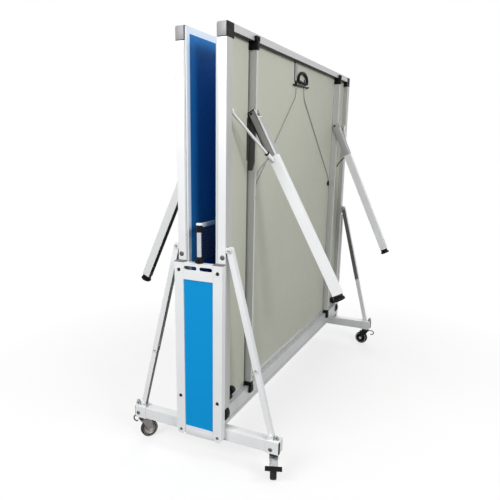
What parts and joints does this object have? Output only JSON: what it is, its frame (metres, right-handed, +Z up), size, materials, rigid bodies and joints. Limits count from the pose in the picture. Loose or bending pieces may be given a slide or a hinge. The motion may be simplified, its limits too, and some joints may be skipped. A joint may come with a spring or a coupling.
{
  "type": "folding table tennis table",
  "caption": "Folding table tennis table stored upright: blue halves that lift and fold in a wheeled white trolley, with legs, struts, net and casters.",
  "frame": {"origin": "on the floor under the middle of the trolley", "axes": "+X along the opened table towards the right half, +Y along the net towards the far end, +Z up"},
  "size_m": [0.9054, 1.6562, 1.525],
  "materials": {
    "white_paint": "satin powder coat",
    "white_aluminium": "satin white",
    "blue_board": "matt blue playing coat over board, pale grey-green underside",
    "blue_panel": "satin",
    "black_plastic": "moulded",
    "wheel_rubber": "matt",
    "caster_chrome": "bright plated",
    "net_post_steel": "brushed",
    "net_cord": "woven"
  },
  "bodies": {
    "trolley": {"near_right_post": "white_paint", "near_left_post": "white_paint", "near_crossbar": "white_paint", "near_end_panel": "blue_panel", "near_net_post": "net_post_steel", "far_right_post": "white_paint", "far_left_post": "white_paint", "far_crossbar": "white_paint", "far_end_panel": "blue_panel", "far_net_post": "net_post_steel", "base_frame": "white_paint", "net": "net_cord"},
    "right_carriage": {"right_near_slider": "black_plastic", "right_far_slider": "black_plastic"},
    "right_half": {"right_board": "blue_board", "right_end_apron": "white_aluminium", "right_net_apron": "white_aluminium", "right_release_cable": "black_plastic", "right_near_apron": "white_aluminium", "right_near_corner_cap": "black_plastic", "right_near_rail": "white_paint", "right_far_apron": "white_aluminium", "right_far_corner_cap": "black_plastic", "right_far_rail": "white_paint"},
    "right_near_strut": {"right_near_strut": "white_paint"},
    "right_near_leg": {"right_near_leg": "white_paint"},
    "right_near_foot": {"right_near_leg_foot": "black_plastic"},
    "right_far_strut": {"right_far_strut": "white_paint"},
    "right_far_leg": {"right_far_leg": "white_paint"},
    "right_far_foot": {"right_far_leg_foot": "black_plastic"},
    "right_handle": {"right_release_handle": "black_plastic"},
    "left_carriage": {"left_near_slider": "black_plastic", "left_far_slider": "black_plastic"},
    "left_half": {"left_board": "blue_board", "left_end_apron": "white_aluminium", "left_net_apron": "white_aluminium", "left_release_cable": "black_plastic", "left_near_apron": "white_aluminium", "left_near_corner_cap": "black_plastic", "left_near_rail": "white_paint", "left_far_apron": "white_aluminium", "left_far_corner_cap": "black_plastic", "left_far_rail": "white_paint"},
    "left_near_strut": {"left_near_strut": "white_paint"},
    "left_near_leg": {"left_near_leg": "white_paint"},
    "left_near_foot": {"left_near_leg_foot": "black_plastic"},
    "left_far_strut": {"left_far_strut": "white_paint"},
    "left_far_leg": {"left_far_leg": "white_paint"},
    "left_far_foot": {"left_far_leg_foot": "black_plastic"},
    "left_handle": {"left_release_handle": "black_plastic"},
    "near_right_caster": {"near_right_caster_fork": "caster_chrome"},
    "near_right_wheel": {"near_right_caster_wheel": "wheel_rubber"},
    "near_right_brake": {"near_right_caster_brake_pedal": "black_plastic"},
    "near_left_caster": {"near_left_caster_fork": "caster_chrome"},
    "near_left_wheel": {"near_left_caster_wheel": "wheel_rubber"},
    "far_right_caster": {"far_right_caster_fork": "caster_chrome"},
    "far_right_wheel": {"far_right_caster_wheel": "wheel_rubber"},
    "far_left_caster": {"far_left_caster_fork": "caster_chrome"},
    "far_left_wheel": {"far_left_caster_wheel": "wheel_rubber"},
    "far_left_brake": {"far_left_caster_brake_pedal": "black_plastic"}
  },
  "joints": [
    {"name": "right_lift", "type": "slide", "parent": "trolley", "child": "right_carriage", "axis": [0, 0, 1], "range_m": [0, 0.4965]},
    {"name": "right_fold", "type": "hinge", "parent": "right_carriage", "child": "right_half", "pos_m": [0.0828, 0, 0.2343], "axis": [0, 1, 0], "range_deg": [0, 90]},
    {"name": "right_near_strut_swing", "type": "hinge", "parent": "right_half", "child": "right_near_strut", "pos_m": [0.1038, -0.748, 0.81049], "axis": [0, 1, 0], "range_deg": [-41, 0]},
    {"name": "right_near_leg_swing", "type": "hinge", "parent": "right_half", "child": "right_near_leg", "pos_m": [0.0863, -0.54, 1.263], "axis": [0, 1, 0], "range_deg": [-61.5, 0]},
    {"name": "right_near_foot_screw", "type": "slide", "parent": "right_near_leg", "child": "right_near_foot", "axis": [0.4772, 0, -0.8788], "range_m": [-0.01, 0]},
    {"name": "right_far_strut_swing", "type": "hinge", "parent": "right_half", "child": "right_far_strut", "pos_m": [0.1038, 0.748, 0.81049], "axis": [0, 1, 0], "range_deg": [-41, 0]},
    {"name": "right_far_leg_swing", "type": "hinge", "parent": "right_half", "child": "right_far_leg", "pos_m": [0.0863, 0.54, 1.263], "axis": [0, 1, 0], "range_deg": [-65, 0]},
    {"name": "right_far_foot_screw", "type": "slide", "parent": "right_far_leg", "child": "right_far_foot", "axis": [0.4226, 0, -0.9063], "range_m": [-0.01, 0]},
    {"name": "right_release", "type": "hinge", "parent": "right_half", "child": "right_handle", "pos_m": [0.0788, 0.006, 1.4235], "axis": [0, 1, 0], "range_deg": [0, 70], "stiffness_Nm_per_rad": 0.15, "springref_deg": -17.19},
    {"name": "left_lift", "type": "slide", "parent": "trolley", "child": "left_carriage", "axis": [0, 0, 1], "range_m": [0, 0.4965]},
    {"name": "left_fold", "type": "hinge", "parent": "left_carriage", "child": "left_half", "pos_m": [-0.0828, 0, 0.2343], "axis": [0, -1, 0], "range_deg": [0, 90]},
    {"name": "left_near_strut_swing", "type": "hinge", "parent": "left_half", "child": "left_near_strut", "pos_m": [-0.1038, -0.748, 0.81049], "axis": [0, -1, 0], "range_deg": [-41, 0]},
    {"name": "left_near_leg_swing", "type": "hinge", "parent": "left_half", "child": "left_near_leg", "pos_m": [-0.0863, -0.54, 1.263], "axis": [0, -1, 0], "range_deg": [-65, 0]},
    {"name": "left_near_foot_screw", "type": "slide", "parent": "left_near_leg", "child": "left_near_foot", "axis": [-0.4226, 0, -0.9063], "range_m": [-0.01, 0]},
    {"name": "left_far_strut_swing", "type": "hinge", "parent": "left_half", "child": "left_far_strut", "pos_m": [-0.1038, 0.748, 0.81049], "axis": [0, -1, 0], "range_deg": [-41, 0]},
    {"name": "left_far_leg_swing", "type": "hinge", "parent": "left_half", "child": "left_far_leg", "pos_m": [-0.0863, 0.54, 1.263], "axis": [0, -1, 0], "range_deg": [-61.5, 0]},
    {"name": "left_far_foot_screw", "type": "slide", "parent": "left_far_leg", "child": "left_far_foot", "axis": [-0.4772, 0, -0.8788], "range_m": [-0.01, 0]},
    {"name": "left_release", "type": "hinge", "parent": "left_half", "child": "left_handle", "pos_m": [-0.0788, -0.006, 1.4235], "axis": [0, -1, 0], "range_deg": [0, 70], "stiffness_Nm_per_rad": 0.15, "springref_deg": -17.19},
    {"name": "near_right_swivel", "type": "hinge", "parent": "trolley", "child": "near_right_caster", "pos_m": [0.282, -0.7447, 0.09], "axis": [0, 0, 1], "continuous": true},
    {"name": "near_right_roll", "type": "hinge", "parent": "near_right_caster", "child": "near_right_wheel", "pos_m": [0.28988, -0.76524, 0.035], "axis": [0.9336, 0.3584, 0], "continuous": true},
    {"name": "near_right_brake_press", "type": "hinge", "parent": "near_right_caster", "child": "near_right_brake", "pos_m": [0.28945, -0.76412, 0.0815], "axis": [0.9336, 0.3584, 0], "range_deg": [0, 10]},
    {"name": "near_left_swivel", "type": "hinge", "parent": "trolley", "child": "near_left_caster", "pos_m": [-0.282, -0.7447, 0.09], "axis": [0, 0, 1], "continuous": true},
    {"name": "near_left_roll", "type": "hinge", "parent": "near_left_caster", "child": "near_left_wheel", "pos_m": [-0.271, -0.72565, 0.035], "axis": [-0.866, 0.5, 0], "continuous": true},
    {"name": "far_right_swivel", "type": "hinge", "parent": "trolley", "child": "far_right_caster", "pos_m": [0.282, 0.7447, 0.09], "axis": [0, 0, 1], "continuous": true},
    {"name": "far_right_roll", "type": "hinge", "parent": "far_right_caster", "child": "far_right_wheel", "pos_m": [0.26033, 0.74852, 0.035], "axis": [-0.1736, -0.9848, 0], "continuous": true},
    {"name": "far_left_swivel", "type": "hinge", "parent": "trolley", "child": "far_left_caster", "pos_m": [-0.282, 0.7447, 0.09], "axis": [0, 0, 1], "continuous": true},
    {"name": "far_left_roll", "type": "hinge", "parent": "far_left_caster", "child": "far_left_wheel", "pos_m": [-0.28988, 0.76524, 0.035], "axis": [-0.9336, -0.3584, 0], "continuous": true},
    {"name": "far_left_brake_press", "type": "hinge", "parent": "far_left_caster", "child": "far_left_brake", "pos_m": [-0.28945, 0.76412, 0.0815], "axis": [-0.9336, -0.3584, 0], "range_deg": [0, 10]}
  ],
  "couplings": [
    {"joint": "right_lift", "follows": "right_fold", "m_per_rad": 0.31602},
    {"joint": "right_near_strut_swing", "follows": "right_fold", "ratio": -0.45036},
    {"joint": "right_near_leg_swing", "follows": "right_fold", "ratio": -0.68333},
    {"joint": "right_far_strut_swing", "follows": "right_fold", "ratio": -0.45036},
    {"joint": "right_far_leg_swing", "follows": "right_fold", "ratio": -0.72222},
    {"joint": "left_lift", "follows": "left_fold", "m_per_rad": 0.31602},
    {"joint": "left_near_strut_swing", "follows": "left_fold", "ratio": -0.45036},
    {"joint": "left_near_leg_swing", "follows": "left_fold", "ratio": -0.72222},
    {"joint": "left_far_strut_swing", "follows": "left_fold", "ratio": -0.45036},
    {"joint": "left_far_leg_swing", "follows": "left_fold", "ratio": -0.68333}
  ]
}
